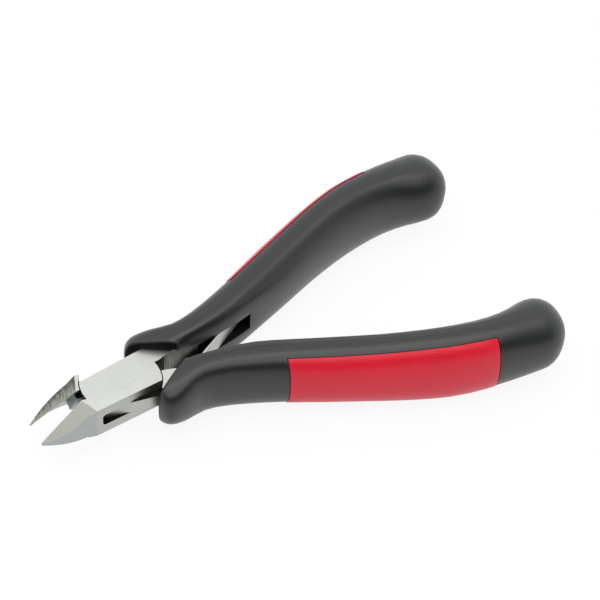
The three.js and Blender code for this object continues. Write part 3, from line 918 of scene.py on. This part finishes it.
@dataclass
class SpringSet:
    """Leaf spring of one lever: a bent strip and the rivet that holds it.

    Attributes:
        side: Lever that carries the spring.
        strip: Material of the spring.
        rivet: Material of the rivet.
        thickness_mm: Thickness of the strip.
        width_mm: Width of the strip.
        course_mm: Middle line of the strip in the lever's frame, from its tail to its tip.
        flex_mm: Not used.
        tail_deg: Turn of the section at the strip's tail from square to the lever.
        edge_mm: Width of the strip's eased edges.
        rivet_edge_mm: Width of the rivet's eased edges.
        edge_deg: Least angle that counts as an edge.
    """

    side: Side
    strip: bpy.types.Material
    rivet: bpy.types.Material
    thickness_mm: float = 0.4
    width_mm: float = 4.4
    course_mm: tuple[tuple[float, float], ...] = (
        (40.41, 4.998), (35.2, 4.138), (34.65, 4.04), (34.24, 3.96), (33.85, 3.8), (33.3, 3.55),
        (30.0, 2.08), (26.6, 0.555), (23.2, -0.965), (20.17, -2.324))
    flex_mm: tuple[tuple[float, float], tuple[float, float]] = ((35.0, 4.1), (29.0, 1.63))
    tail_deg: float = 16.7
    edge_mm: float = 0.1
    rivet_edge_mm: float = 0.15
    edge_deg: float = 40.0

    def build_strip(self) -> bpy.types.Object:
        """Models the strip by extruding its section along its course.

        Returns:
            The finished strip.
        """
        points = [row_frame(self.side, x, y) for x, y in self.course_mm]
        lean = math.radians(HALF_OPENING_DEG + self.tail_deg) * self.side.sign
        deselect_all()
        bpy.ops.mesh.primitive_plane_add(size=1.0, location=points[0],
                                         rotation=(0.0, math.pi / 2, lean))
        piece = bpy.context.object
        piece.name = f"{self.side.word}_leaf_spring"
        piece.scale = (self.width_mm * MM, self.thickness_mm * MM, 1.0)
        bpy.ops.object.transform_apply(location=True, rotation=True, scale=True)
        bpy.ops.object.mode_set(mode="EDIT")
        bpy.ops.mesh.select_all(action="SELECT")
        for here, there in zip(points, points[1:]):
            bpy.ops.mesh.extrude_region_move(TRANSFORM_OT_translate={"value": there - here})
        bpy.ops.mesh.select_all(action="SELECT")
        bpy.ops.mesh.normals_make_consistent(inside=False)
        bpy.ops.object.mode_set(mode="OBJECT")
        ease_edges(piece, self.edge_mm, self.edge_deg)
        paint(piece, [self.strip])
        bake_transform(piece)
        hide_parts(f"{self.side.word}_spring_foot", f"{self.side.word}_spring_blade")
        log.info("%s bends between %s and %s", piece.name, self.side.body, self.side.spring_body)
        return piece

    def build_rivet(self) -> bpy.types.Object:
        """Dresses the rivet over its CAD node.

        Returns:
            The finished rivet.
        """
        node = f"{self.side.word}_spring_rivet"
        piece = copy_of_node(node, f"{node}_headed")
        ease_edges(piece, self.rivet_edge_mm, self.edge_deg, 3)
        paint(piece, [self.rivet])
        settle(piece, self.side.body, "pin_steel", node)
        return piece

    def build(self) -> None:
        """Models the strip and the rivet."""
        self.build_strip()
        self.build_rivet()


@dataclass
class JointPin:
    """Pin of the box joint, pressed into the cheeks and ground flush with them.

    Attributes:
        steel: Material of the pin.
        radius_mm: Radius that fills the hole, so that no ring shows on the ground face.
        sides: Sides of the cylinder.
    """

    steel: bpy.types.Material
    radius_mm: float = 2.24
    sides: int = 96

    def build(self) -> bpy.types.Object:
        """Models the pin as a cylinder between the two faces of the head.

        Returns:
            The finished pin.
        """
        low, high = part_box("joint_pin")
        deselect_all()
        bpy.ops.mesh.primitive_cylinder_add(
            vertices=self.sides, radius=self.radius_mm * MM, depth=high[2] - low[2],
            location=(0.0, 0.0, (low[2] + high[2]) / 2))
        piece = bpy.context.object
        piece.name = "joint_pin_ground"
        bpy.ops.object.transform_apply(location=True, rotation=True, scale=True)
        bpy.ops.object.shade_smooth_by_angle(angle=math.radians(ROUND_DEG))
        paint(piece, [self.steel])
        settle(piece, Side.BOX.body, "pin_steel", "joint_pin")
        return piece


@dataclass
class Studio:
    """Camera, soft box, room and floor.

    Attributes:
        aim_mm: Point that the camera looks at.
        azimuth_deg: Direction of the camera round the object.
        elevation_deg: Height of the camera above the horizon.
        roll_deg: Turn of the camera about its axis.
        distance_mm: Distance from the aim to the camera.
        focal_px: Focal length in pixels of the 600 pixel image.
        image_px: Width of that image.
        sensor_mm: Width of the camera's sensor.
        clip_m: Nearest distance that the camera shows.
        dim_towards: Direction of the dim side of the room.
        dim_edges: Cosines to that direction between which the room goes from pale to dim.
        room_light: Strength of the room all round, and on its dim side.
        lamp_place_m: Where the soft box hangs.
        lamp_size_m: Width of the soft box.
        lamp_watts: Power of the soft box.
        floor_size_m: Width of the floor.
        floor_white: Share of plain white in the floor where it is seen, over which its shadow still shows.
        paper: Colour of the floor's paper.
    """

    aim_mm: tuple[float, float, float] = (48.2296, 6.6651, 3.95)
    azimuth_deg: float = -30.8863
    elevation_deg: float = 46.3389
    roll_deg: float = 2.8862
    distance_mm: float = 600.4
    focal_px: float = 2659.4
    image_px: int = 600
    sensor_mm: float = 36.0
    clip_m: float = 0.05
    dim_towards: tuple[float, float, float] = (-0.250, -0.798, 0.549)
    dim_edges: tuple[float, float] = (0.3, 0.75)
    room_light: tuple[float, float] = (1.0, 0.06)
    lamp_place_m: tuple[float, float, float] = (-0.05, -0.20, 0.80)
    lamp_size_m: float = 1.2
    lamp_watts: float = 8.5
    floor_size_m: float = 4.0
    floor_white: float = 0.9
    paper: str = "#ededeb"

    def build_camera(self) -> bpy.types.Object:
        """Places the camera and makes it the scene's own.

        Returns:
            The camera.
        """
        azimuth = math.radians(self.azimuth_deg)
        elevation = math.radians(self.elevation_deg)
        roll = math.radians(self.roll_deg)
        back = Vector((math.sin(azimuth) * math.cos(elevation), -math.cos(azimuth) * math.cos(elevation),
                       math.sin(elevation)))
        level = Vector((math.cos(azimuth), math.sin(azimuth), 0.0))
        upright = back.cross(level)
        right = level * math.cos(roll) + upright * math.sin(roll)
        up = back.cross(right)
        data = bpy.data.cameras.new("camera")
        data.sensor_width = self.sensor_mm
        data.lens = self.focal_px / self.image_px * data.sensor_width
        data.clip_start = self.clip_m
        camera = bpy.data.objects.new("camera", data)
        place = Vector(self.aim_mm) * MM + back * self.distance_mm * MM
        turn = Matrix((right, up, back)).transposed()
        camera.matrix_world = Matrix.Translation(place) @ turn.to_4x4()
        bpy.context.scene.collection.objects.link(camera)
        bpy.context.scene.camera = camera
        return camera

    def build_lamp(self) -> None:
        """Adds a square soft box that points at the tool."""
        data = bpy.data.lights.new("overhead_softbox", "AREA")
        data.size = self.lamp_size_m
        data.energy = self.lamp_watts
        lamp = bpy.data.objects.new("overhead_softbox", data)
        lamp.location = self.lamp_place_m
        aim = Vector(self.aim_mm) * MM - Vector(self.lamp_place_m)
        lamp.rotation_euler = aim.to_track_quat("-Z", "Y").to_euler()
        bpy.context.scene.collection.objects.link(lamp)

    def build_world(self) -> None:
        """Makes the room: pale all round, and dim on the side where the camera stands."""
        world = bpy.data.worlds.new("studio_room")
        bpy.context.scene.world = world
        world.use_nodes = True
        tree = world.node_tree
        tree.nodes.clear()
        place = add_node(tree, "ShaderNodeTexCoord")
        facing = add_node(tree, "ShaderNodeVectorMath", settings={"operation": "DOT_PRODUCT"})
        tree.links.new(place.outputs["Generated"], facing.inputs[0])
        facing.inputs[1].default_value = self.dim_towards
        strength = add_node(tree, "ShaderNodeMapRange", settings={"interpolation_type": "SMOOTHSTEP"},
                            values={"From Min": self.dim_edges[0], "From Max": self.dim_edges[1],
                                    "To Min": self.room_light[0], "To Max": self.room_light[1]},
                            links={"Value": facing.outputs["Value"]})
        white = add_node(tree, "ShaderNodeBackground", values={"Color": (1.0, 1.0, 1.0, 1.0)},
                         links={"Strength": strength.outputs["Result"]})
        add_node(tree, "ShaderNodeOutputWorld", links={"Surface": white.outputs["Background"]})

    def build_floor(self, height: float) -> bpy.types.Object:
        """Lays a pale floor that is nearly white where it is seen and keeps a faint shadow.

        Args:
            height: Height of the floor, in metres.

        Returns:
            The floor.
        """
        deselect_all()
        bpy.ops.mesh.primitive_plane_add(size=self.floor_size_m, location=(0.0, 0.0, height))
        floor = bpy.context.object
        floor.name = "floor"
        material, tree = new_tree("white_paper")
        rays = add_node(tree, "ShaderNodeLightPath")
        mirrored = add_node(tree, "ShaderNodeMath", settings={"operation": "MAXIMUM"})
        tree.links.new(rays.outputs["Is Glossy Ray"], mirrored.inputs[0])
        tree.links.new(rays.outputs["Is Transmission Ray"], mirrored.inputs[1])
        seen = add_node(tree, "ShaderNodeMath", settings={"operation": "MAXIMUM"})
        tree.links.new(rays.outputs["Is Camera Ray"], seen.inputs[0])
        tree.links.new(mirrored.outputs["Value"], seen.inputs[1])
        share = add_node(tree, "ShaderNodeMapRange", values={"To Min": 0.0, "To Max": self.floor_white},
                         links={"Value": seen.outputs["Value"]})
        paper = add_node(tree, "ShaderNodeBsdfDiffuse", values={"Color": linear(self.paper)})
        white = add_node(tree, "ShaderNodeEmission", values={"Strength": 1.0})
        mixed = add_node(tree, "ShaderNodeMixShader", links={"Fac": share.outputs["Result"]})
        tree.links.new(paper.outputs["BSDF"], mixed.inputs[1])
        tree.links.new(white.outputs["Emission"], mixed.inputs[2])
        add_node(tree, "ShaderNodeOutputMaterial", links={"Surface": mixed.outputs["Shader"]})
        floor.data.materials.append(material)
        return floor

    def build(self) -> None:
        """Sets the whole studio up."""
        bpy.context.scene.view_settings.view_transform = "Standard"
        self.build_camera()
        self.build_world()
        self.build_lamp()
        self.build_floor(CAD_BOX[0][2])


def main() -> None:
    """Builds every piece of the side cutters and the studio round them."""
    logging.basicConfig(level=logging.INFO, format="%(message)s")
    head, side_shaded, facet, facet_shaded = (
        steel.material() for steel in (HEAD_STEEL, SIDE_STEEL_SHADED, FACET_STEEL, FACET_STEEL_PAINTED_SHADE))
    wall, tang_shaded, shade_steel, strip = (
        steel.material() for steel in (WALL_STEEL, TANG_STEEL_SHADED, PAINTED_SHADE_STEEL, STRIP_STEEL))
    rubbers = [rubber.material() for rubber in (BLACK_RUBBER, LIP_RUBBER_HALF_SHADE, RUBBER_PAINTED_SHADE)]
    nylon = RED_NYLON.material()
    # The through lever's jaw takes the facet steel with painted shade
    facets = {Side.BOX: facet, Side.THROUGH: facet_shaded}
    for side in Side:
        Lever(side, [head, facets[side], wall, tang_shaded, shade_steel, side_shaded]).build()
        # The rivets take the tangs' steel, whose dark grey is partly painted shade
        SpringSet(side, strip, tang_shaded).build()
        Grip(side, rubbers, nylon).build()
    for above in (True, False):
        SlotCorner(shade_steel, side_shaded, above).build()
    JointPin(head).build()
    Studio().build()


if __name__ == "__main__":
    main()
